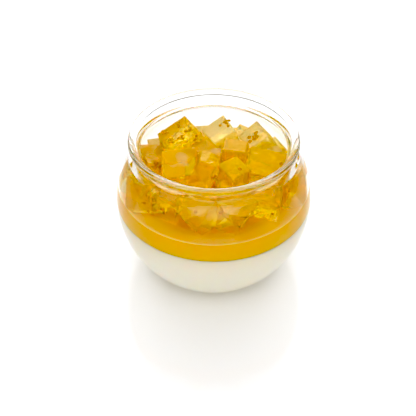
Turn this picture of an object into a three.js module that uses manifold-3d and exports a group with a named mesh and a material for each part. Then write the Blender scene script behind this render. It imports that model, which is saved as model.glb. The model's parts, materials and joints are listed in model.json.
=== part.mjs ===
// Panna cotta in a round glass: a white set cream, a layer of golden jelly on it, and a heap of
// jelly cubes on top. Millimetres, +Z up, the origin in the middle of the glass's foot.
import * as THREE from "three";
import { mergeVertices } from "three/addons/utils/BufferGeometryUtils.js";
import Module from "manifold-3d";

const wasm = await Module();
wasm.setup();

// The glass. Its wall is a ball that is widest at the belly, drawn in to a neck under a round rim.
// Inside, the rim slopes down to a throat before the wall opens out again.
const BELLY_RADIUS = 40;
const BELLY_HEIGHT = 32.8;
const LOWER_RISE = 40.4; // half axis of the ball below the belly
const UPPER_RISE = 43.4; // half axis above it
const FOOT_RADIUS = 22.5;
const FOOT_ROUNDING = 1.2; // height at which the wall leaves the foot
const WALL = 1.8;
const BASE_THICKNESS = 4.5;
const SHOULDER_HEIGHT = 55.5; // where the wall leaves the ball
const NECK_RADIUS = 31.5; // of the groove outside, under the rim
const NECK_HEIGHT = 57.6;
const THROAT_RADIUS = 29.1; // of the narrowest place inside
const THROAT_HEIGHT = 59;
const RIM_RADIUS = 1.6; // of the rim's round section
const RIM_MIDDLE = 32.4; // from the glass's axis to the middle of that section
const RIM_FROM = -45; // the round section runs over the top from this angle outside
const RIM_TO = 145; // to this one inside
const GLASS_HEIGHT = 64;
const INNER_CORNER = 5; // rounding where the inner wall meets the flat inner bottom
const TURN_STEPS = 60; // flat facets round the glass and what fills it

// The filling.
const FILL_GAP = 0.3; // between one solid and the next
const CREAM_TOP = 33.2;
const LAYER_TOP = 40.6;
const LAYER_CREEP = 0.5; // how far the layer's edge climbs the wall
const CREEP_WIDTH = 1.6; // and how wide that edge is

// The heap of jelly cubes.
const CUBE_EDGE = 12.5;
const KNIFE_SLIP = 0.5; // how far a corner is off its true place
const SMALLEST_SHARE = 0.35; // a piece that keeps less of its cube than this is left out
const RANDOM_SEED = 41;

const GLASS_LOOK = { color: 0xf2f5f4, roughness: 0.03, metalness: 0, transparent: true, opacity: 0.3 };
const CREAM_LOOK = { color: 0xece1cb, roughness: 0.45, metalness: 0 };
const LAYER_LOOK = { color: 0xdf9f08, roughness: 0.25, metalness: 0 };
const CUBE_LOOK = { color: 0xe9b32a, roughness: 0.08, metalness: 0, transparent: true, opacity: 0.85 };

// ---- Small helpers -------------------------------------------------------------------------

const radians = THREE.MathUtils.degToRad;

// Seeded random numbers in 0..1, the same on every run.
function makeRandom(seed) {
  let state = seed >>> 0;
  return () => {
    state = (state + 0x6d2b79f5) >>> 0;
    let t = Math.imul(state ^ (state >>> 15), state | 1);
    t ^= t + Math.imul(t ^ (t >>> 7), t | 61);
    return ((t ^ (t >>> 14)) >>> 0) / 4294967296;
  };
}

// Points at even steps along an arc, from one angle to another in degrees.
function arc(centreX, centreY, radius, from, to, steps) {
  return Array.from({ length: steps + 1 }, (_, i) => {
    const angle = radians(from + ((to - from) * i) / steps);
    return new THREE.Vector2(centreX + radius * Math.cos(angle), centreY + radius * Math.sin(angle));
  });
}

// A profile of (radius, height) points turned about Z, with its facets lined up from piece to piece.
function turned(profile) {
  return new THREE.LatheGeometry(profile, TURN_STEPS).rotateX(Math.PI / 2);
}

// A geometry's positions alone, with one vertex at each place.
function bareMesh(geometry) {
  const bare = geometry.clone();
  bare.deleteAttribute("normal");
  bare.deleteAttribute("uv");
  return mergeVertices(bare, 1e-4);
}

// three.js geometry to a solid that can be cut, and back.
function solidFrom(geometry) {
  const merged = bareMesh(geometry);
  return new wasm.Manifold(
    new wasm.Mesh({
      numProp: 3,
      vertProperties: new Float32Array(merged.attributes.position.array),
      triVerts: new Uint32Array(merged.index.array),
    }),
  );
}

function geometryFrom(solid) {
  const mesh = solid.getMesh();
  const geometry = new THREE.BufferGeometry();
  geometry.setAttribute("position", new THREE.BufferAttribute(new Float32Array(mesh.vertProperties), 3));
  geometry.setIndex(new THREE.BufferAttribute(new Uint32Array(mesh.triVerts), 1));
  geometry.computeVertexNormals();
  return geometry;
}

// ---- The glass and its two layers ----------------------------------------------------------

// The wall's radius at a height: the outside at depth 0, and further in for a deeper surface.
function wallRadius(height, depth = 0) {
  const rise = height < BELLY_HEIGHT ? LOWER_RISE : UPPER_RISE;
  const up = (height - BELLY_HEIGHT) / (rise - depth);
  return (BELLY_RADIUS - depth) * Math.sqrt(Math.max(0, 1 - up * up));
}

// The wall's profile between two heights, its points evenly spread round the ball.
function wallPoints(low, high, steps, depth = 0) {
  const ball = (LOWER_RISE + UPPER_RISE) / 2;
  const angleAt = (height) => Math.asin((height - BELLY_HEIGHT) / ball);
  return Array.from({ length: steps + 1 }, (_, i) => {
    const angle = THREE.MathUtils.lerp(angleAt(low), angleAt(high), i / steps);
    const height = BELLY_HEIGHT + ball * Math.sin(angle);
    return new THREE.Vector2(wallRadius(height, depth), height);
  });
}

// The inside of the glass from its axis up to a height: a flat bottom, a rounded corner, the wall.
// A depth past the wall's thickness gives what fills the glass, clear of it all round.
function insideProfile(top, depth, steps) {
  const floor = BASE_THICKNESS + (depth - WALL);
  const corner = INNER_CORNER - (depth - WALL);
  const cornerTop = floor + corner;
  const cornerMiddle = wallRadius(cornerTop, depth) - corner;
  return [
    new THREE.Vector2(0, floor),
    ...arc(cornerMiddle, cornerTop, corner, -90, -12, 4),
    ...wallPoints(cornerTop + 1.5, top, steps, depth),
  ];
}

// The points between a profile's end and a later part's start, on a bend through a narrow place
// where the profile stands upright.
function bendThrough(before, radius, height, after) {
  const narrow = new THREE.Vector2(radius, height);
  const upright = (point) => new THREE.Vector2(radius, (point.y + height) / 2);
  const into = new THREE.QuadraticBezierCurve(before, upright(before), narrow).getPoints(2);
  const out = new THREE.QuadraticBezierCurve(narrow, upright(after), after).getPoints(2);
  return [into[1], narrow, out[1]];
}

function buildGlass() {
  const outside = [
    new THREE.Vector2(0, 0),
    new THREE.Vector2(FOOT_RADIUS, 0),
    ...wallPoints(FOOT_ROUNDING, SHOULDER_HEIGHT, 14),
  ];
  const rim = arc(RIM_MIDDLE, GLASS_HEIGHT - RIM_RADIUS, RIM_RADIUS, RIM_FROM, RIM_TO, 9);
  const inside = insideProfile(SHOULDER_HEIGHT, WALL, 12).reverse();
  return turned([
    ...outside,
    ...bendThrough(outside.at(-1), NECK_RADIUS, NECK_HEIGHT, rim[0]),
    ...rim,
    ...bendThrough(rim.at(-1), THROAT_RADIUS, THROAT_HEIGHT, inside[0]),
    ...inside,
  ]);
}

function buildCream() {
  const profile = insideProfile(CREAM_TOP, WALL + FILL_GAP, 8);
  return turned([...profile, new THREE.Vector2(0, CREAM_TOP)]);
}

// The golden layer, which creeps a little up the glass at its edge.
function buildLayer() {
  const depth = WALL + FILL_GAP;
  return turned([
    new THREE.Vector2(0, CREAM_TOP + FILL_GAP),
    ...wallPoints(CREAM_TOP + FILL_GAP, LAYER_TOP + LAYER_CREEP, 4, depth),
    new THREE.Vector2(wallRadius(LAYER_TOP, depth) - CREEP_WIDTH, LAYER_TOP),
    new THREE.Vector2(0, LAYER_TOP),
  ]);
}

// ---- The heap ------------------------------------------------------------------------------

// The cubes that can be seen, placed by hand. at: the middle. edges: the three edge lengths.
// turn: yaw about Z, then tilt about X and about Y, in degrees.
const SHOWN_CUBES = [
  // The top of the heap, from the back to the front.
  { at: [-13, 13.5, 50.5], edges: [13.5, 13.5, 12], turn: [32, 12, -12] },
  { at: [4, 16, 50], edges: [11.5, 11, 12], turn: [-66, 6, -19] },
  { at: [19, 15.5, 48], edges: [11.5, 10, 11.5], turn: [-64, 8, -25] },
  { at: [22.5, 12, 45], edges: [8, 10, 11], turn: [-37, 10, 28] },
  { at: [7.5, -9.5, 50.5], edges: [9, 10, 12], turn: [-50, 8, 4] },
  { at: [9, 1.5, 53], edges: [9.5, 8.5, 10], turn: [-10, -3, 0] },
  { at: [-4, -6, 50.6], edges: [8.5, 11, 12.5], turn: [-6, -12, 26] },
  { at: [20.5, -5, 48.5], edges: [15, 14, 13], turn: [-16, 8, 2] },
  { at: [-13, -4.5, 49], edges: [13.5, 14.5, 12], turn: [0, 10, -10] },
  // Beside the wall, from the left round the front to the right.
  { at: [-26, 5, 45.5], edges: [10, 12, 11], turn: [25, -6, 14] },
  { at: [-30, -3, 46.5], edges: [9, 12, 10], turn: [-30, 5, 20] },
  { at: [-28, -14.5, 46.5], edges: [9.5, 10.5, 11], turn: [-5, -15, 2] },
  { at: [-17, -18, 46.5], edges: [12, 11.5, 11], turn: [-28, 10, 6] },
  { at: [-6, -25.5, 47.5], edges: [11.5, 13, 12], turn: [34, 26, -22] },
  { at: [7, -25.5, 47], edges: [12, 12, 12], turn: [60, 18, 14] },
  { at: [19.5, -17, 47.5], edges: [11.5, 12, 12], turn: [-12, 0, -4] },
  { at: [29.5, -10, 46.5], edges: [11, 12, 11.5], turn: [25, -6, 8] },
  { at: [31, 1, 45.5], edges: [9, 10, 8], turn: [-12, 4, 6] },
  // Behind, lower than the ones before them.
  { at: [-21.5, 14.5, 44.4], edges: [9.5, 10, 7], turn: [20, 2, 4] },
  { at: [-14, 24, 43.4], edges: [13, 11, 4.6], turn: [28, 2, 2] },
  { at: [0, 26, 43.4], edges: [14, 10, 4.6], turn: [4, 1, -2] },
  { at: [14.5, 23.5, 43.4], edges: [13.5, 10.5, 4.6], turn: [-30, 2, 2] },
  // In the middle, among the tall ones.
  { at: [-3.5, 5, 47.8], edges: [13, 12, 11], turn: [-32, 4, 6] },
];

// The cubes beneath those: how many, how far out, how high, and the first one's bearing.
const BENEATH = { count: 4, radius: 9.5, height: 45.2, bearing: 45 };

const random = makeRandom(RANDOM_SEED);
const spread = (reach) => (random() * 2 - 1) * reach;

function cubesBeneath() {
  return Array.from({ length: BENEATH.count }, (_, i) => {
    const angle = radians(BENEATH.bearing + (360 * i) / BENEATH.count + spread(6));
    const out = BENEATH.radius + spread(1);
    const edge = CUBE_EDGE - 1.5 + spread(0.8);
    return {
      at: [out * Math.cos(angle), out * Math.sin(angle), BENEATH.height],
      edges: [edge, edge + spread(0.8), edge - 2],
      turn: [spread(45), spread(6), spread(6)],
    };
  });
}

function placeOf({ at, turn: [yaw, aboutX, aboutY] }) {
  const euler = new THREE.Euler(radians(aboutX), radians(aboutY), radians(yaw), "YXZ");
  return new THREE.Matrix4().compose(
    new THREE.Vector3(...at),
    new THREE.Quaternion().setFromEuler(euler),
    new THREE.Vector3(1, 1, 1),
  );
}

// A cube as a knife leaves it: each corner a little off.
function cubeGeometry(edges) {
  const box = bareMesh(new THREE.BoxGeometry(...edges));
  const corners = box.attributes.position;
  for (let i = 0; i < corners.count; i += 1) {
    corners.setXYZ(
      i,
      corners.getX(i) + spread(KNIFE_SLIP),
      corners.getY(i) + spread(KNIFE_SLIP),
      corners.getZ(i) + spread(KNIFE_SLIP),
    );
  }
  return box;
}

function largestBody(solid) {
  return solid.decompose().reduce((most, body) => (body.volume() > most.volume() ? body : most));
}

// The room for the heap: over the layer, inside the wall and the throat, and open above.
function buildRoom() {
  const depth = WALL + 2 * FILL_GAP;
  const floor = LAYER_TOP + FILL_GAP;
  const throat = THROAT_RADIUS - 2 * FILL_GAP;
  const sky = new THREE.Vector2(throat, 2 * GLASS_HEIGHT);
  const wall = wallPoints(floor + LAYER_CREEP, SHOULDER_HEIGHT, 8, depth);
  const profile = [
    new THREE.Vector2(0, floor),
    new THREE.Vector2(wallRadius(floor, depth) - CREEP_WIDTH, floor),
    ...wall,
    ...bendThrough(wall.at(-1), throat, THROAT_HEIGHT, sky),
    sky,
    new THREE.Vector2(0, sky.y),
  ];
  return solidFrom(turned(profile));
}

// Cubes of soft jelly settle against each other, the glass and the layer: each gives way to those
// placed before it, with a gap all round.
function buildHeap() {
  const room = buildRoom();
  const placed = [];
  const pieces = [];
  for (const cube of [...SHOWN_CUBES, ...cubesBeneath()]) {
    const place = placeOf(cube);
    const shape = cubeGeometry(cube.edges);
    const whole = solidFrom(shape.clone().applyMatrix4(place));
    const rest = placed.reduce((solid, taken) => solid.subtract(taken), whole.intersect(room));
    const kept = rest.isEmpty() ? rest : largestBody(rest);
    if (kept.volume() < SMALLEST_SHARE * whole.volume()) continue;
    const growth = cube.edges.map((edge) => 1 + (2 * FILL_GAP) / edge);
    placed.push(solidFrom(shape.scale(...growth).applyMatrix4(place)));
    pieces.push({ kept, place });
  }
  return pieces;
}

// ---- The scene -----------------------------------------------------------------------------

function named(name, geometry, look) {
  const mesh = new THREE.Mesh(geometry, new THREE.MeshStandardMaterial(look));
  mesh.name = name;
  return mesh;
}

const dessert = new THREE.Group();
dessert.add(named("glass", buildGlass(), GLASS_LOOK));
dessert.add(named("panna_cotta", buildCream(), CREAM_LOOK));
dessert.add(named("jelly_layer", buildLayer(), LAYER_LOOK));

const heap = new THREE.Group();
buildHeap().forEach(({ kept, place }, i) => {
  const geometry = geometryFrom(kept).applyMatrix4(place.clone().invert());
  const mesh = named(`jelly_cube_${String(i + 1).padStart(2, "0")}`, geometry, CUBE_LOOK);
  mesh.applyMatrix4(place);
  heap.add(mesh);
});
dessert.add(heap);

export default dessert;
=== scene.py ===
"""Dresses a panna cotta in a round glass: blown glass, set cream, a golden jelly layer and a heap
of jelly cubes with dried flowers in them, on a polished white table in soft studio light. All
lengths are in metres."""

import json
import math
import random

import bmesh
import bpy
from bpy.props import FloatProperty, FloatVectorProperty, IntProperty, PointerProperty
from mathutils import Matrix, Vector, noise

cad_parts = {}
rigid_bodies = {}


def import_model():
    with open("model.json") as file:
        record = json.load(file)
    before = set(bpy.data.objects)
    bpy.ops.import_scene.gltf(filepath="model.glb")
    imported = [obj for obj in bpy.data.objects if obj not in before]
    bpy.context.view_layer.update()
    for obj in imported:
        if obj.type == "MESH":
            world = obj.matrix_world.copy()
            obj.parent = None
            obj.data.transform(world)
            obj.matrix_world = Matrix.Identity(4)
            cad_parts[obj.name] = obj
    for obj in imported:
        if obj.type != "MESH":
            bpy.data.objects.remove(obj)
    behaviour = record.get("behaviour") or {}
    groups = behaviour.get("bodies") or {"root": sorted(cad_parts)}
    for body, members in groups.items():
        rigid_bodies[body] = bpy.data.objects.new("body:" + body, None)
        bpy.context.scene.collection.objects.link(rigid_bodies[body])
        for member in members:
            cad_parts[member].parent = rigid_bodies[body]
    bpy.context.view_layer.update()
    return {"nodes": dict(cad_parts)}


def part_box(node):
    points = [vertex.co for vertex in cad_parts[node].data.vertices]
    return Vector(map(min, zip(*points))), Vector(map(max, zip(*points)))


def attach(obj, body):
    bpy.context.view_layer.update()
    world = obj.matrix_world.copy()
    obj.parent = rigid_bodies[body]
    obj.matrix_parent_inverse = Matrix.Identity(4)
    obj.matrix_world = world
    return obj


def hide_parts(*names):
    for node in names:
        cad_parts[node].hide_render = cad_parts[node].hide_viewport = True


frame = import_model()

bl_info = {
    "name": "Panna cotta with jelly cubes",
    "version": (1, 0, 0),
    "blender": (4, 5, 0),
    "location": "3D View > Sidebar > Dessert",
    "description": "Makes the glass, the set cream, the jelly and the table of a panna cotta",
    "category": "Object",
}

MM = 0.001
CUBE_NODES = sorted(name for name in frame["nodes"] if name.startswith("jelly_cube"))
GLASS_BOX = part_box("glass")
CREAM_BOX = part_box("panna_cotta")
LAYER_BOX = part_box("jelly_layer")

CAD_GAP = 0.3 * MM  # between one CAD piece and the next
CONTACT = 0.08 * MM  # how far a filling reaches into what holds it, so that no air shows between
LAYER_CREEP = 0.5 * MM  # how far the layer's edge stands above its middle
LAYER_TOP = LAYER_BOX[1].z - LAYER_CREEP  # height of the layer's middle


# ---- Colour and node helpers -----------------------------------------------------------------


def linear(hex_colour):
    """An sRGB hex colour as linear RGB."""
    channels = [int(hex_colour[i : i + 2], 16) / 255 for i in (0, 2, 4)]
    return [c / 12.92 if c <= 0.04045 else ((c + 0.055) / 1.055) ** 2.4 for c in channels]


def rgba(colour):
    """A linear colour as a node's socket takes it."""
    return (*colour[:3], 1.0)


def add(tree, kind, inputs=None, **settings):
    """A new node with its settings, and its inputs set to values or linked to other sockets. Mix,
    Math and Map Range nodes have several inputs of one name, so theirs go by number."""
    made = tree.nodes.new(kind)
    for name, value in settings.items():
        setattr(made, name, value)
    for socket, value in (inputs or {}).items():
        if isinstance(value, bpy.types.NodeSocket):
            tree.links.new(value, made.inputs[socket])
        else:
            made.inputs[socket].default_value = value
    return made


def new_material(name):
    """An empty node material and its tree."""
    material = bpy.data.materials.new(name)
    material.use_nodes = True
    material.node_tree.nodes.clear()
    return material, material.node_tree


def close_material(tree, surface, volume=None):
    """Ends a material's tree in its surface shader, and in its volume shader if it has one."""
    sockets = {"Surface": surface.outputs[0]}
    if volume:
        sockets["Volume"] = volume.outputs[0]
    add(tree, "ShaderNodeOutputMaterial", sockets)


# ---- What a user would change ----------------------------------------------------------------


class GlassSettings(bpy.types.PropertyGroup):
    wall: FloatProperty(
        name="Wall",
        description="Thickness of the glass at the belly",
        default=1.8 * MM,
        unit="LENGTH",
    )
    foot_radius: FloatProperty(
        name="Foot radius",
        description="Radius of the flat that the glass stands on",
        default=22.5 * MM,
        unit="LENGTH",
    )
    rim_radius: FloatProperty(
        name="Rim radius",
        description="Radius of the rim's round section",
        default=1.6 * MM,
        unit="LENGTH",
    )


class FillingSettings(bpy.types.PropertyGroup):
    cream_colour: FloatVectorProperty(
        name="Cream",
        description="Colour of the set cream",
        default=linear("FCF8EF"),
        subtype="COLOR",
    )
    layer_colour: FloatVectorProperty(
        name="Jelly layer",
        description="Colour of the smooth layer",
        default=linear("F3C40A"),
        subtype="COLOR",
    )
    # Painted shade: the layer's top gets this browner colour for the heap's shade on it
    layer_top_painted_shade: FloatVectorProperty(
        name="Layer's top",
        description="Its colour under the cubes",
        default=linear("DEAA07"),
        subtype="COLOR",
    )


class CubeSettings(bpy.types.PropertyGroup):
    jelly_colour: FloatVectorProperty(
        name="Jelly",
        description="Colour that light takes in the jelly",
        default=linear("FEFBDA"),
        subtype="COLOR",
    )
    pale_colour: FloatVectorProperty(
        name="Pale jelly",
        description="Colour that light takes in the paler cubes",
        default=linear("FFFEF6"),
        subtype="COLOR",
    )
    colour_depth: FloatProperty(
        name="Colour depth",
        description="Thickness of jelly that shows that colour",
        default=12 * MM,
        unit="LENGTH",
    )
    edge_rounding: FloatProperty(
        name="Edge rounding",
        description="How far the cut edges have softened",
        default=0.35 * MM,
        unit="LENGTH",
    )
    unevenness: FloatProperty(
        name="Unevenness",
        description="How far the cut faces wander",
        default=0.12 * MM,
        unit="LENGTH",
    )
    seed: IntProperty(
        name="Seed",
        description="Places the bubbles and turns the dried flowers",
        default=7,
    )


class StageSettings(bpy.types.PropertyGroup):
    floor_colour: FloatVectorProperty(
        name="Table",
        description="Colour of the table",
        default=linear("FAFAFA"),
        subtype="COLOR",
    )
    sky_strength: FloatProperty(
        name="Sky",
        description="Strength of the light all round",
        default=1.13,
    )
    card_strength: FloatProperty(
        name="Side cards",
        description="Strength of the light that the dark cards give",
        default=0.05,
    )
    box_strength: FloatProperty(
        name="Softbox",
        description="Strength of the lamp behind",
        default=2.6,
    )


# ---- Materials -------------------------------------------------------------------------------

CREAM_CLOUDS = 9 * MM  # from one faint cloud in the cream to the next
CLOUD_SHADE = 0.98  # how bright a cloud is beside the rest
SHADED_TOP_FACES = (0.3, 0.9)  # a normal's Z between which the layer's side colour turns into the painted shade of its top
LAYER_EDGE_HIGHLIGHT = "FFECA0"  # painted highlight along the layer's edge where it thins out on the wall, on top of the thin jelly's own paler tone
EDGE_HIGHLIGHT_DEPTH = 0.1 * MM  # how far under the layer's highest line the painted highlight is palest
PATCH_SPACING = 9 * MM  # from one patch in a cube to the next
PATCH_LEVELS = (0.6, 0.68)  # levels of the noise at which a patch begins and is full
RIPPLE_SPACING = 1.8 * MM  # from one ripple of a cut face to the next
FLORET_SPOTS = 1.2 * MM  # from one spot of a petal to the next
FLORET_COLOURS = ("8A4A06", "DDA018")  # brown and orange

# The kinds of jelly: the tint and that of its patches, how clear it is, its roughness, how deep
# its ripples are and which cubes are made of it.
KINDS = {
    "clear": {
        "tint": "FCEA86",
        "patch": "FEF9D3",
        "clearness": 0.88,
        "roughness": 0.02,
        "ripple": 0.25 * MM,
        "cubes": ("01", "10", "11", "13", "18"),
    },
    "cloudy": {
        "tint": "FDE665",
        "patch": "FEF7CB",
        "clearness": 0.82,
        "roughness": 0.05,
        "ripple": 0.1 * MM,
        "cubes": ("09", "17", "23"),
    },
    "even": {
        "tint": "FDE255",
        "patch": "FDEA6F",
        "clearness": 0.74,
        "roughness": 0.05,
        "ripple": 0.1 * MM,
        "cubes": ("05", "07", "08", "12", "14", "15"),
    },
    "deep": {
        "tint": "FCDA3F",
        "patch": "FCE150",
        "clearness": 0.76,
        "roughness": 0.05,
        "ripple": 0.1 * MM,
        "cubes": ("06",),
    },
    "pale": {
        "tint": "FFF7BF",
        "patch": "FEEC7C",
        "clearness": 0.74,
        "roughness": 0.04,
        "ripple": 0.15 * MM,
        "cubes": ("02", "03", "04", "19", "20", "21", "22", "24", "25"),
    },
    "rippled": {
        "tint": "FFF8CB",
        "patch": "FFFCED",
        "clearness": 1.0,
        "roughness": 0.0,
        "ripple": 1.3 * MM,
        "cubes": ("16",),
    },
}


def soda_lime_glass():
    """Blown soda-lime glass, fire-polished: clear, with bright and dark lines along its edges."""
    material, tree = new_material("blown_soda_lime_glass")
    glass = add(
        tree,
        "ShaderNodeBsdfPrincipled",
        {"Base Color": (1, 1, 1, 1), "Roughness": 0.0, "IOR": 1.5, "Transmission Weight": 1.0},
    )
    close_material(tree, glass)
    return material


def set_cream(colour):
    """Cream set with gelatine, poured: white and soft inside, with a faint warm cast."""
    material, tree = new_material("set_cream")
    place = add(tree, "ShaderNodeTexCoord").outputs["Object"]
    cloud = add(
        tree,
        "ShaderNodeTexNoise",
        {"Vector": place, "Scale": 1 / CREAM_CLOUDS, "Detail": 3.0},
    )
    shaded = [channel * CLOUD_SHADE for channel in colour]
    tone = add(
        tree,
        "ShaderNodeMix",
        {0: cloud.outputs["Fac"], 6: rgba(colour), 7: rgba(shaded)},
        data_type="RGBA",
    )
    cream = add(
        tree,
        "ShaderNodeBsdfPrincipled",
        {
            "Base Color": tone.outputs[2],
            "Roughness": 0.35,
            "IOR": 1.35,
            "Subsurface Weight": 1.0,
            "Subsurface Radius": (1.0, 0.8, 0.6),
            "Subsurface Scale": 2.5 * MM,
        },
    )
    close_material(tree, cream)
    return material


def golden_layer(colour, top_shade_colour):
    """Fruit jelly poured over the cream: smooth, wet and too deep in colour to see through. Its top
    lies in the heap's shade, and that shade is painted in as a browner colour than its side's. Its
    thin edge is painted pale: partly the thin jelly's own paler tone and partly a painted
    highlight."""
    material, tree = new_material("golden_jelly_layer")
    # Painted shade: faces that look up take the top's browner colour
    facing = add(tree, "ShaderNodeNewGeometry").outputs["Normal"]
    upward = add(tree, "ShaderNodeSeparateXYZ", {"Vector": facing}).outputs["Z"]
    share = add(
        tree, "ShaderNodeMapRange", {0: upward, 1: SHADED_TOP_FACES[0], 2: SHADED_TOP_FACES[1]}
    ).outputs[0]
    tone = add(
        tree,
        "ShaderNodeMix",
        {0: share, 6: rgba(colour), 7: rgba(top_shade_colour)},
        data_type="RGBA",
    )
    # Painted highlight: paler up the edge that creeps onto the wall, where the thin jelly is also
    # paler
    place = add(tree, "ShaderNodeTexCoord").outputs["Object"]
    height = add(tree, "ShaderNodeSeparateXYZ", {"Vector": place}).outputs["Z"]
    thin = add(
        tree,
        "ShaderNodeMapRange",
        {0: height, 1: LAYER_TOP, 2: LAYER_BOX[1].z - EDGE_HIGHLIGHT_DEPTH},
    ).outputs[0]
    tone = add(
        tree,
        "ShaderNodeMix",
        {0: thin, 6: tone.outputs[2], 7: rgba(linear(LAYER_EDGE_HIGHLIGHT))},
        data_type="RGBA",
    )
    jelly = add(
        tree,
        "ShaderNodeBsdfPrincipled",
        {
            "Base Color": tone.outputs[2],
            "Roughness": 0.08,
            "IOR": 1.35,
            "Subsurface Weight": 1.0,
            "Subsurface Radius": (1.0, 0.5, 0.1),
            "Subsurface Scale": 2.0 * MM,
        },
    )
    close_material(tree, jelly)
    return material


def cut_jelly(name, kind, colour, depth):
    """Fruit jelly cut with a knife: wet and smooth, golden where it is thick. The kinds run from
    clear as syrup to cloudy and pale, and each has patches of a lighter or deeper tint."""
    material, tree = new_material(name)
    place = add(tree, "ShaderNodeTexCoord").outputs["Object"]
    cloud = add(
        tree,
        "ShaderNodeTexNoise",
        {"Vector": place, "Scale": 1 / PATCH_SPACING, "Detail": 1.0},
    )
    share = add(
        tree,
        "ShaderNodeMapRange",
        {0: cloud.outputs["Fac"], 1: PATCH_LEVELS[0], 2: PATCH_LEVELS[1]},
        interpolation_type="SMOOTHSTEP",
    ).outputs[0]
    tone = add(
        tree,
        "ShaderNodeMix",
        {0: share, 6: rgba(linear(kind["tint"])), 7: rgba(linear(kind["patch"]))},
        data_type="RGBA",
    )
    ripple = add(
        tree,
        "ShaderNodeTexNoise",
        {"Vector": place, "Scale": 1 / RIPPLE_SPACING, "Detail": 2.0},
    )
    ripples = add(
        tree,
        "ShaderNodeBump",
        {"Height": ripple.outputs["Fac"], "Distance": kind["ripple"], "Strength": 1.0},
    ).outputs[0]
    jelly = add(
        tree,
        "ShaderNodeBsdfPrincipled",
        {
            "Base Color": tone.outputs[2],
            "Roughness": kind["roughness"],
            "IOR": 1.35,
            "Transmission Weight": kind["clearness"],
            "Normal": ripples,
        },
    )
    inside = add(
        tree,
        "ShaderNodeVolumeAbsorption",
        {"Color": rgba(colour), "Density": 1 / depth},
    )
    close_material(tree, jelly, inside)
    return material


def dried_florets():
    """Small dried flowers set in the jelly: matt, brown and orange."""
    material, tree = new_material("dried_florets")
    place = add(tree, "ShaderNodeTexCoord").outputs["Object"]
    spots = add(tree, "ShaderNodeTexNoise", {"Vector": place, "Scale": 1 / FLORET_SPOTS})
    brown, orange = (rgba(linear(colour)) for colour in FLORET_COLOURS)
    tone = add(
        tree,
        "ShaderNodeMix",
        {0: spots.outputs["Fac"], 6: brown, 7: orange},
        data_type="RGBA",
    )
    floret = add(
        tree, "ShaderNodeBsdfPrincipled", {"Base Color": tone.outputs[2], "Roughness": 0.6}
    )
    close_material(tree, floret)
    return material


def polished_acrylic(colour):
    """Cast white acrylic, polished: it mirrors the glass faintly, and more so at a low angle."""
    material, tree = new_material("polished_white_acrylic")
    acrylic = add(
        tree,
        "ShaderNodeBsdfPrincipled",
        {"Base Color": rgba(colour), "Roughness": 0.02, "IOR": 1.49},
    )
    close_material(tree, acrylic)
    return material


# ---- Mesh helpers ----------------------------------------------------------------------------

UP = (0.0, 1.0)
DOWN = (0.0, -1.0)


def show(name, mesh, material, node_names):
    """Links a mesh as a piece of the dessert that stands for CAD nodes."""
    piece = bpy.data.objects.new(name, mesh)
    bpy.context.scene.collection.objects.link(piece)
    mesh.materials.clear()
    mesh.materials.append(material)
    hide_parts(*node_names)
    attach(piece, "root")
    return piece


def turned(name, profile, steps):
    """A closed mesh from a profile of (radius, height) points that starts and ends on the axis or
    closes on itself, turned about Z."""
    shape = bmesh.new()
    rings = []
    for radius, height in profile:
        if radius < 1e-6:
            rings.append([shape.verts.new((0, 0, height))])
            continue
        angles = (2 * math.pi * i / steps for i in range(steps))
        places = ((radius * math.cos(a), radius * math.sin(a), height) for a in angles)
        rings.append([shape.verts.new(place) for place in places])
    pairs = list(zip(rings, rings[1:]))
    if len(rings[0]) > 1:
        pairs.append((rings[-1], rings[0]))
    for low, high in pairs:
        for i in range(steps):
            j = (i + 1) % steps
            corners = [
                low[i % len(low)],
                low[j % len(low)],
                high[j % len(high)],
                high[i % len(high)],
            ]
            shape.faces.new(list(dict.fromkeys(corners)))
    bmesh.ops.recalc_face_normals(shape, faces=shape.faces)
    mesh = bpy.data.meshes.new(name)
    for face in shape.faces:
        face.smooth = True
    shape.to_mesh(mesh)
    shape.free()
    return mesh


def heading(angle):
    """The direction of an angle in degrees, of length 1."""
    return (math.cos(math.radians(angle)), math.sin(math.radians(angle)))


def towards(start, end):
    """The direction from one profile point to the next, of length 1."""
    length = math.dist(start, end)
    return ((end[0] - start[0]) / length, (end[1] - start[1]) / length)


def arc(centre, radius, start, end, steps):
    """Points along an arc of a profile, its angles in degrees."""
    angles = (math.radians(start + (end - start) * i / steps) for i in range(steps + 1))
    return [(centre[0] + radius * math.cos(a), centre[1] + radius * math.sin(a)) for a in angles]


def curve(start, start_handle, end_handle, end, steps):
    """Points along a cubic Bezier curve, without its first point."""
    points = []
    for i in range(1, steps + 1):
        t = i / steps
        weights = ((1 - t) ** 3, 3 * t * (1 - t) ** 2, 3 * t * t * (1 - t), t**3)
        handles = (start, start_handle, end_handle, end)
        points.append(tuple(sum(w * p[axis] for w, p in zip(weights, handles)) for axis in (0, 1)))
    return points


def bend(leave, arrive, steps):
    """A smooth bend from one profile point to another, without its first point. Each end is given
    as its point, its direction and how far the bend holds that direction."""
    start, leaving, start_pull = leave
    end, arriving, end_pull = arrive
    start_handle = (start[0] + leaving[0] * start_pull, start[1] + leaving[1] * start_pull)
    end_handle = (end[0] - arriving[0] * end_pull, end[1] - arriving[1] * end_pull)
    return curve(start, start_handle, end_handle, end, steps)


# ---- The glass's form ------------------------------------------------------------------------

# The ball that the wall follows, flatter above the belly than below it.
BELLY_RADIUS = GLASS_BOX[1].x
GLASS_HEIGHT = GLASS_BOX[1].z
BELLY_HEIGHT = 0.5125 * GLASS_HEIGHT
LOWER_RISE = 1.01 * BELLY_RADIUS  # half the ball's height under the belly
UPPER_RISE = 1.085 * BELLY_RADIUS  # and over it
THICKENING = 2.6  # the inner ball's top lies this many wall thicknesses under the outer one's
FOOT_ROUNDING = 1.2 * MM  # height where the outside starts to follow the ball
INNER_CORNER = 5 * MM  # radius of the inside's rounding between base and wall
CORNER_END = -12  # degrees, where that rounding gives way to the wall
CORNER_REACH = 1.5 * MM  # height of the stretch between the two

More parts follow.
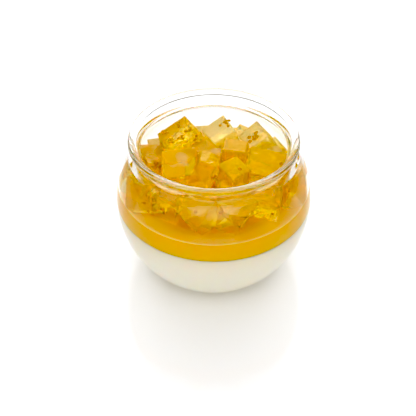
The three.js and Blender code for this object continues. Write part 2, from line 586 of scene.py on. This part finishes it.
# The neck and the rim. Points are radius and height, and a pull is how far a bend holds.
SHOULDER = 55.5 * MM  # height where the outside leaves the ball
SHOULDER_PULL = 0.36 * MM
NECK = (31.5 * MM, 57.6 * MM)  # the groove under the rim
NECK_PULLS = (0.74 * MM, 0.63 * MM)
RIM_MIDDLE = 0.81 * BELLY_RADIUS  # radius of the circle along the middle of the rim's section
RIM_ANGLES = (-80, 145.5)  # degrees of that section, from outside over the top to inside
RIM_PULLS = (0.5 * MM, 0.69 * MM)
THROAT = (29.1 * MM, 59 * MM)  # the narrowest place inside
THROAT_PULLS = (0.43 * MM, 0.6 * MM)
INNER_SHOULDER = 55.58 * MM  # height where the inside leaves the ball
INNER_PULL = 1.1 * MM

TURN_STEPS = 144  # round the axis
WALL_STEPS = 60  # from foot to shoulder, outside and inside
RIM_STEPS = 24
SHOULDER_STEPS = 12  # from the shoulder to the neck
BEND_STEPS = 16  # from the neck to the rim, and in each half of the throat
CORNER_STEPS = 10


def wall_radius(height, depth=0.0):
    """The wall's radius at a height, outside at depth 0 and further in for a deeper surface. From
    the belly up the wall grows thicker."""
    rise = LOWER_RISE - depth if height < BELLY_HEIGHT else UPPER_RISE - depth * THICKENING
    up = (height - BELLY_HEIGHT) / rise
    return (BELLY_RADIUS - depth) * math.sqrt(max(0.0, 1 - up * up))


def wall_points(low, high, steps, depth=0.0):
    """The wall's profile between two heights, its points evenly spread round the ball."""
    ball = (LOWER_RISE + UPPER_RISE) / 2
    first = math.asin((low - BELLY_HEIGHT) / ball)
    last = math.asin((high - BELLY_HEIGHT) / ball)
    angles = (first + (last - first) * i / steps for i in range(steps + 1))
    heights = [BELLY_HEIGHT + ball * math.sin(angle) for angle in angles]
    return [(wall_radius(height, depth), height) for height in heights]


def inside_profile(base, top, depth, steps):
    """The inside of the glass from its axis up to a height."""
    corner_top = base + INNER_CORNER
    middle = wall_radius(corner_top, depth) - INNER_CORNER
    corner = arc((middle, corner_top), INNER_CORNER, -90, CORNER_END, CORNER_STEPS)
    wall = wall_points(corner_top + CORNER_REACH, top, steps, depth)
    return [(0.0, base), *corner, *wall]


class DESSERT_OT_glass(bpy.types.Operator):
    """Make the round glass with its rolled rim"""

    bl_idname = "dessert.glass"
    bl_label = "Glass"

    def execute(self, context):
        sizes = context.scene.dessert_glass
        rim_centre = (RIM_MIDDLE, GLASS_HEIGHT - sizes.rim_radius)
        rim = arc(rim_centre, sizes.rim_radius, RIM_ANGLES[0], RIM_ANGLES[1], RIM_STEPS)
        into_rim, out_of_rim = (heading(angle + 90) for angle in RIM_ANGLES)

        outside = [(0.0, 0.0), (sizes.foot_radius, 0.0)]
        outside += wall_points(FOOT_ROUNDING, SHOULDER, WALL_STEPS)
        shoulder = (outside[-1], towards(*outside[-2:]), SHOULDER_PULL)
        outside += bend(shoulder, (NECK, UP, NECK_PULLS[0]), SHOULDER_STEPS)
        rim_foot = (rim[0], into_rim, RIM_PULLS[0])
        outside += bend((NECK, UP, NECK_PULLS[1]), rim_foot, BEND_STEPS)

        base = CREAM_BOX[0].z - CAD_GAP
        inside = inside_profile(base, INNER_SHOULDER, sizes.wall, WALL_STEPS)
        rim_end = (rim[-1], out_of_rim, RIM_PULLS[1])
        throat = bend(rim_end, (THROAT, DOWN, THROAT_PULLS[0]), BEND_STEPS)
        inner_shoulder = (inside[-1], towards(inside[-1], inside[-2]), INNER_PULL)
        throat += bend((THROAT, DOWN, THROAT_PULLS[1]), inner_shoulder, BEND_STEPS)

        profile = outside + rim[1:] + throat[:-1] + inside[::-1]
        mesh = turned("round_glass", profile, TURN_STEPS)
        show("round_glass", mesh, soda_lime_glass(), ["glass"])
        return {"FINISHED"}


# ---- The fillings ----------------------------------------------------------------------------

CREAM_STEPS = 40  # up the wall
LAYER_STEPS = 16  # up the wall
CREEP_STEPS = 10
CREEP_WIDTH = 2.2 * MM  # from the wall to where the layer is level
CREEP_DROP = (0.25 * MM, 0.4 * MM)  # how the creeping edge leaves the wall, inwards and down
CREEP_RUN = 1.2 * MM  # how far it runs out level


class DESSERT_OT_cream(bpy.types.Operator):
    """Make the set cream that fills the bottom of the glass"""

    bl_idname = "dessert.cream"
    bl_label = "Set cream"

    def execute(self, context):
        depth = context.scene.dessert_glass.wall - CONTACT
        base = CREAM_BOX[0].z - CAD_GAP - CONTACT
        top = CREAM_BOX[1].z
        profile = inside_profile(base, top, depth, CREAM_STEPS) + [(0.0, top)]
        mesh = turned("cream_fill", profile, TURN_STEPS)
        colour = context.scene.dessert_filling.cream_colour
        show("cream_fill", mesh, set_cream(colour), ["panna_cotta"])
        return {"FINISHED"}


class DESSERT_OT_layer(bpy.types.Operator):
    """Make the golden layer over the cream, with the edge that creeps up the wall"""

    bl_idname = "dessert.layer"
    bl_label = "Jelly layer"

    def execute(self, context):
        depth = context.scene.dessert_glass.wall - CONTACT
        bottom = CREAM_BOX[1].z - CONTACT
        wall = wall_points(bottom, LAYER_BOX[1].z, LAYER_STEPS, depth)
        edge = wall[-1]
        edge_handle = (edge[0] - CREEP_DROP[0], edge[1] - CREEP_DROP[1])
        level = (wall_radius(LAYER_TOP, depth) - CREEP_WIDTH, LAYER_TOP)
        level_handle = (level[0] + CREEP_RUN, LAYER_TOP)
        creep = curve(edge, edge_handle, level_handle, level, CREEP_STEPS)
        profile = [(0.0, bottom), *wall, *creep, (0.0, LAYER_TOP)]
        mesh = turned("golden_layer", profile, TURN_STEPS)
        filling = context.scene.dessert_filling
        material = golden_layer(filling.layer_colour, filling.layer_top_painted_shade)
        show("golden_layer", mesh, material, ["jelly_layer"])
        return {"FINISHED"}


# ---- The heap --------------------------------------------------------------------------------

WET_GAP = 0.9 * MM  # a gap to the wall that syrup closes
OPEN_GAP = 1.6 * MM  # a gap to the wall that stays open
SAME_POINT = 0.004 * MM  # points closer than this are one
FLAT_ANGLE = math.radians(1.5)  # CAD facets that meet at less lie in one face
CUT_ANGLE = math.radians(12)  # edges sharper than this are rounded
LONGEST_EDGE = 0.9 * MM  # of a cube's mesh
UNEVEN_SPACING = 3.5 * MM  # between the hollows of a cut face
UNEVEN_SHARES = (0.6, 1.8)  # least and most of the set unevenness
BUBBLES = (4, 12)  # fewest and most in a cube
BUBBLE_RADII = (0.12 * MM, 0.4 * MM)
BUBBLE_PLACES = (0.3, 0.82)  # least and most of the way from a cube's middle to its skin


def fade(gap):
    """1 where a gap is wet shut and 0 where it stays open."""
    share = min(1.0, max(0.0, (OPEN_GAP - gap) / (OPEN_GAP - WET_GAP)))
    return share * share * (3 - 2 * share)


def wetted(place):
    """A point of a cube, drawn against the wall or the layer where it all but touches it."""
    wall = bpy.context.scene.dessert_glass.wall
    radius = math.hypot(place.x, place.y)
    inner = wall_radius(place.z, wall)
    near = fade(inner - radius)
    reach = (radius + near * (inner + CONTACT - radius)) / max(radius, MM)
    drop = fade(place.z - LAYER_TOP + CAD_GAP) * (place.z - LAYER_TOP + CONTACT)
    return Vector((place.x * reach, place.y * reach, place.z - drop))


def cut_to_triangles(shape):
    """Cuts all faces to triangles. The first new ones fill the gaps that the bevel left among the
    old ones, in an order that differs from run to run, so these are put in one that doesn't."""
    shape.verts.index_update()
    old = set(shape.faces)
    bmesh.ops.triangulate(shape, faces=shape.faces)
    faces = list(shape.faces)
    last_old = max(place for place, face in enumerate(faces) if face in old)
    gaps = [place for place in range(last_old) if faces[place] not in old]
    fillers = sorted(
        (faces[place] for place in gaps), key=lambda face: [vert.index for vert in face.verts]
    )
    for place, face in zip(gaps, fillers):
        faces[place] = face
    rank = {face: place for place, face in enumerate(faces)}
    shape.faces.sort(key=rank.get)


def soften(node, settings, draw):
    """A CAD cube's mesh with its knife-cut edges rounded, its faces made a little uneven and a few
    bubbles left inside."""
    shape = bmesh.new()
    shape.from_mesh(node.data)
    bmesh.ops.remove_doubles(shape, verts=shape.verts, dist=SAME_POINT)
    bmesh.ops.dissolve_limit(shape, angle_limit=FLAT_ANGLE, verts=shape.verts, edges=shape.edges)
    joins = (edge for edge in shape.edges if edge.is_manifold)
    sharp = [edge for edge in joins if edge.calc_face_angle() > CUT_ANGLE]
    bmesh.ops.bevel(
        shape,
        geom=sharp,
        offset=settings.edge_rounding,
        offset_type="OFFSET",
        segments=2,
        profile=0.5,
        affect="EDGES",
        clamp_overlap=True,
    )
    cut_to_triangles(shape)
    for _ in range(5):
        long_edges = [edge for edge in shape.edges if edge.calc_length() > LONGEST_EDGE]
        if not long_edges:
            break
        bmesh.ops.subdivide_edges(shape, edges=long_edges, cuts=1)
        many_sided = [face for face in shape.faces if len(face.verts) > 3]
        bmesh.ops.triangulate(shape, faces=many_sided)
    bmesh.ops.recalc_face_normals(shape, faces=shape.faces)
    shape.normal_update()
    away = Vector([draw.uniform(0, 50) for _ in range(3)])
    unevenness = settings.unevenness * draw.uniform(*UNEVEN_SHARES)
    moves = [
        vert.normal * (unevenness * noise.noise(vert.co / UNEVEN_SPACING + away))
        for vert in shape.verts
    ]
    for vert, move in zip(shape.verts, moves):
        vert.co = wetted(vert.co + move)
    add_bubbles(shape, draw)
    for face in shape.faces:
        face.smooth = True
    mesh = bpy.data.meshes.new("soft_cube")
    shape.to_mesh(mesh)
    shape.free()
    return mesh


def add_bubbles(shape, draw):
    """Leaves round hollows of air inside a cube, their faces turned inwards."""
    skin = [vert.co.copy() for vert in shape.verts]
    middle = sum(skin, Vector()) / len(skin)
    for _ in range(draw.randint(*BUBBLES)):
        place = middle.lerp(draw.choice(skin), draw.uniform(*BUBBLE_PLACES))
        made = bmesh.ops.create_icosphere(
            shape,
            subdivisions=2,
            radius=draw.uniform(*BUBBLE_RADII),
            matrix=Matrix.Translation(place),
        )
        faces = {face for vert in made["verts"] for face in vert.link_faces}
        bmesh.ops.reverse_faces(shape, faces=list(faces))


class DESSERT_OT_cubes(bpy.types.Operator):
    """Make the heap of jelly cubes, some clear and others cloudy, pale or rippled"""

    bl_idname = "dessert.cubes"
    bl_label = "Jelly cubes"

    def execute(self, context):
        settings = context.scene.dessert_cubes
        looks = {}
        for kind_name, kind in KINDS.items():
            colour = settings.pale_colour if kind_name == "pale" else settings.jelly_colour
            material = cut_jelly(kind_name + "_cut_jelly", kind, colour, settings.colour_depth)
            looks.update(dict.fromkeys(kind["cubes"], material))
        for number, name in enumerate(CUBE_NODES):
            draw = random.Random(settings.seed + number)
            mesh = soften(frame["nodes"][name], settings, draw)
            show("soft_" + name, mesh, looks[name[-2:]], [name])
        return {"FINISHED"}


# ---- The dried flowers -----------------------------------------------------------------------

FLORET_REACH = 1.25 * MM  # from a flower's middle to a petal's middle
FLORET_RISE = 0.05 * MM  # how far a flower's middle stands out of the jelly's face
FLORET_SIZES = (0.7, 1.1)  # least and most of the full size
PETAL = (0.95 * MM, 0.75 * MM, 0.35 * MM)  # half sizes of a petal
PETAL_TILT = 0.6  # the most, in radians, that a petal leans out of the face
PETAL_SWAY = 0.2  # the most, in radians, that it leaves its place in the ring
RING = 4  # petals of a whole flower
# Where the flowers show, by the cube each lies in: its place in millimetres and how many petals.
FLORETS = {
    "01": (
        (-21, 14.9, 55, 1),
        (-16.3, 9, 54.7, 2),
        (-13.4, 9.4, 55.5, 3),
        (-17.8, 8.3, 54.3, 1),
        (-11, 6.9, 55.6, 1),
        (-10.2, 11.9, 56.8, 2),
        (-13.8, 16.6, 56.8, 2),
        (-6.8, 9.1, 56, 2),
        (-19.9, 12.6, 54.8, 2),
    ),
    "02": ((2.8, 17.3, 56, 1), (4.3, 17.5, 56.7, 2), (5.9, 15.7, 57, 1), (5.3, 19.5, 57.5, 2)),
    "03": (
        (14.8, 14.3, 52.2, 1),
        (17.2, 13.2, 53, 5),
        (16.1, 11.5, 52.5, 2),
        (17.5, 15.7, 53.7, 1),
    ),
    "10": ((-22.7, 0, 49.1, 2), (-21.9, 0.6, 47.7, 1), (-21.1, 0.9, 48.7, 1), (-23.6, -0.4, 51, 1)),
    "07": ((-0.4, -11.3, 53, 2),),
    "05": ((10.1, -11.1, 56.2, 1), (13.5, -10.1, 47.7, 1)),
    "08": ((23.4, -11.2, 54.2, 1), (26.4, -6.5, 54.9, 1)),
    "16": ((18.9, -13.4, 53.6, 1), (22.1, -23.7, 44.5, 1)),
    "13": ((-18.6, -23.4, 45.8, 2),),
    "12": ((-25, -20.9, 43.5, 1), (-26.4, -19.8, 46.7, 1)),
    "14": ((-6.8, -30.8, 51.9, 1),),
    "15": ((3.1, -30.4, 50.5, 2),),
}


def add_floret(shape, middle, normal, petals, draw):
    """A whole or broken flower lying in a face."""
    turn = Matrix.Rotation(draw.uniform(0, math.tau), 4, "Z")
    lie = normal.to_track_quat("Z", "Y").to_matrix().to_4x4()
    size = Matrix.Scale(draw.uniform(*FLORET_SIZES), 4)
    reach = 0 if petals == 1 else FLORET_REACH
    out = Matrix.Translation((reach, 0, 0))
    form = Matrix.Diagonal((*PETAL, 1.0))
    for petal in range(petals):
        tilt = Matrix.Rotation(draw.uniform(-PETAL_TILT, PETAL_TILT), 4, "Y")
        angle = math.tau * petal / max(petals, RING) + draw.uniform(-PETAL_SWAY, PETAL_SWAY)
        spin = Matrix.Rotation(angle, 4, "Z")
        place = Matrix.Translation(middle) @ lie @ turn @ size @ spin @ out @ tilt @ form
        bmesh.ops.create_uvsphere(shape, u_segments=10, v_segments=6, radius=1.0, matrix=place)


class DESSERT_OT_florets(bpy.types.Operator):
    """Make the small dried flowers that were set in the jelly"""

    bl_idname = "dessert.florets"
    bl_label = "Dried florets"

    def execute(self, context):
        draw = random.Random(context.scene.dessert_cubes.seed)
        shape = bmesh.new()
        for number, places in FLORETS.items():
            cube = bpy.data.objects["soft_jelly_cube_" + number]
            for x, y, z, petals in places:
                _, middle, normal, _ = cube.closest_point_on_mesh(Vector((x, y, z)) * MM)
                add_floret(shape, middle + normal * FLORET_RISE, normal, petals, draw)
        mesh = bpy.data.meshes.new("dried_florets")
        for face in shape.faces:
            face.smooth = True
        shape.to_mesh(mesh)
        shape.free()
        florets = bpy.data.objects.new("dried_florets", mesh)
        context.scene.collection.objects.link(florets)
        mesh.materials.append(dried_florets())
        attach(florets, "root")
        return {"FINISHED"}


# ---- Stage -----------------------------------------------------------------------------------

TABLE_HALF = 0.35  # half the table's side
TABLE_DROP = 0.05 * MM  # how far the table lies under the foot, so that the two never share a face

# Where each part of the light begins and where it is full, by the direction it comes from: y is 1
# straight behind the glass and -1 in front of it, x is 1 to the right and z is 1 overhead.
FRONT_LIGHT = (-0.2, -0.7)  # in y
SOFTBOX_SIDE = (0.4, 0.5)  # in y
SOFTBOX_TOP = (0.82, 0.72)  # in z
CARD_SLOPE = 1.2  # how steeply the side cards rise from the middle outwards
CARD_EDGE = (-0.2, -0.3)  # in z, once the slope is taken off it
HORIZON = (0.2, 0.02)  # in z
FRONT_LEVEL = 1.75  # strength of the light in front
HORIZON_LEVEL = 0.05  # dim, so that the rim and the neck get their dark lines
HORIZON_COLOUR = "FFE7BC"

BLACK_LEVEL = (0.0, 0.02, 0.1)  # takes a faint bluish veil off the render
CAMERA_PLACE = (-2.33 * MM, -286.99 * MM, 281.74 * MM)
CAMERA_DOWN = 41.708  # degrees under the horizontal
SENSOR = 36  # millimetres
LENS = 79.24  # millimetres


class DESSERT_OT_stage(bpy.types.Operator):
    """Make the white table, the soft light and the camera"""

    bl_idname = "dessert.stage"
    bl_label = "Stage"

    def execute(self, context):
        settings = context.scene.dessert_stage
        self.make_table(context, settings)
        self.make_sky(context, settings)
        self.make_camera(context)
        view = context.scene.view_settings
        view.view_transform = "Standard"
        view.look = "None"
        view.use_curve_mapping = True
        view.curve_mapping.black_level = BLACK_LEVEL
        view.curve_mapping.update()
        # Light crosses the glass and many cubes, and keeps its sharp glints on the way.
        cycles = context.scene.cycles
        cycles.blur_glossy = 0.0
        cycles.max_bounces = 32
        cycles.diffuse_bounces = 8
        cycles.glossy_bounces = 16
        cycles.transmission_bounces = 32
        return {"FINISHED"}

    def make_table(self, context, settings):
        signs = ((-1, -1), (1, -1), (1, 1), (-1, 1))
        corners = [(x * TABLE_HALF, y * TABLE_HALF, -TABLE_DROP) for x, y in signs]
        mesh = bpy.data.meshes.new("white_table")
        mesh.from_pydata(corners, [], [(0, 1, 2, 3)])
        table = bpy.data.objects.new("white_table", mesh)
        context.scene.collection.objects.link(table)
        mesh.materials.append(polished_acrylic(settings.floor_colour))

    def make_sky(self, context, settings):
        """White for the camera, and the studio's lamps and dark cards for all else."""
        world = bpy.data.worlds.new("studio")
        context.scene.world = world
        world.use_nodes = True
        tree = world.node_tree
        tree.nodes.clear()
        seen = add(tree, "ShaderNodeLightPath").outputs["Is Camera Ray"]
        direction = add(tree, "ShaderNodeTexCoord").outputs["Generated"]
        parts = add(tree, "ShaderNodeSeparateXYZ", {"Vector": direction})
        x, y, z = (parts.outputs[axis] for axis in "XYZ")
        sideways = add(tree, "ShaderNodeMath", {0: x}, operation="ABSOLUTE").outputs[0]
        over_slope = add(
            tree, "ShaderNodeMath", {0: sideways, 1: -CARD_SLOPE, 2: z}, operation="MULTIPLY_ADD"
        ).outputs[0]
        fades = {
            "front": (y, *FRONT_LIGHT),
            "behind": (y, *SOFTBOX_SIDE),
            "low": (z, *SOFTBOX_TOP),
            "cards": (over_slope, *CARD_EDGE),
            "horizon": (z, *HORIZON),
        }
        share = {
            name: add(
                tree,
                "ShaderNodeMapRange",
                {0: value, 1: start, 2: full},
                interpolation_type="SMOOTHSTEP",
            ).outputs[0]
            for name, (value, start, full) in fades.items()
        }
        softbox = add(
            tree, "ShaderNodeMath", {0: share["behind"], 1: share["low"]}, operation="MULTIPLY"
        ).outputs[0]
        layers = (
            (share["front"], FRONT_LEVEL),
            (softbox, settings.box_strength),
            (share["cards"], settings.card_strength),
            (share["horizon"], HORIZON_LEVEL),
            (seen, 1.0),
        )
        strength = settings.sky_strength
        for part, level in layers:
            strength = add(
                tree, "ShaderNodeMix", {0: part, 2: strength, 3: level}, data_type="FLOAT"
            ).outputs[0]
        unseen = add(
            tree,
            "ShaderNodeMath",
            {0: share["horizon"], 1: seen},
            operation="SUBTRACT",
            use_clamp=True,
        ).outputs[0]
        colour = add(
            tree,
            "ShaderNodeMix",
            {0: unseen, 6: (1, 1, 1, 1), 7: rgba(linear(HORIZON_COLOUR))},
            data_type="RGBA",
        ).outputs[2]
        back = add(tree, "ShaderNodeBackground", {"Color": colour, "Strength": strength})
        add(tree, "ShaderNodeOutputWorld", {"Surface": back.outputs[0]})

    def make_camera(self, context):
        camera = bpy.data.cameras.new("camera")
        camera.sensor_width = SENSOR
        camera.lens = LENS
        camera.clip_start = 0.01
        camera.clip_end = 20
        holder = bpy.data.objects.new("camera", camera)
        holder.location = CAMERA_PLACE
        holder.rotation_euler = (math.radians(90 - CAMERA_DOWN), 0, 0)
        context.scene.collection.objects.link(holder)
        context.scene.camera = holder


# ---- The add-on ------------------------------------------------------------------------------

SETTINGS = {
    "dessert_glass": GlassSettings,
    "dessert_filling": FillingSettings,
    "dessert_cubes": CubeSettings,
    "dessert_stage": StageSettings,
}
OPERATORS = (
    DESSERT_OT_glass,
    DESSERT_OT_cream,
    DESSERT_OT_layer,
    DESSERT_OT_cubes,
    DESSERT_OT_florets,
    DESSERT_OT_stage,
)


class DESSERT_PT_panel(bpy.types.Panel):
    """Lists the sizes and colours, and the operators in the order they are used"""

    bl_idname = "DESSERT_PT_panel"
    bl_label = "Panna cotta"
    bl_space_type = "VIEW_3D"
    bl_region_type = "UI"
    bl_category = "Dessert"

    def draw(self, context):
        for name, group in SETTINGS.items():
            box = self.layout.box()
            for setting in group.__annotations__:
                box.prop(getattr(context.scene, name), setting)
        for operator in OPERATORS:
            self.layout.operator(operator.bl_idname)


def register():
    for group in (*SETTINGS.values(), *OPERATORS, DESSERT_PT_panel):
        bpy.utils.register_class(group)
    for name, group in SETTINGS.items():
        setattr(bpy.types.Scene, name, PointerProperty(type=group))


def unregister():
    for name in SETTINGS:
        delattr(bpy.types.Scene, name)
    for group in (DESSERT_PT_panel, *reversed(OPERATORS), *SETTINGS.values()):
        bpy.utils.unregister_class(group)


def main():
    register()
    for operator in OPERATORS:
        family, name = operator.bl_idname.split(".")
        getattr(getattr(bpy.ops, family), name)()


if __name__ == "__main__":
    main()
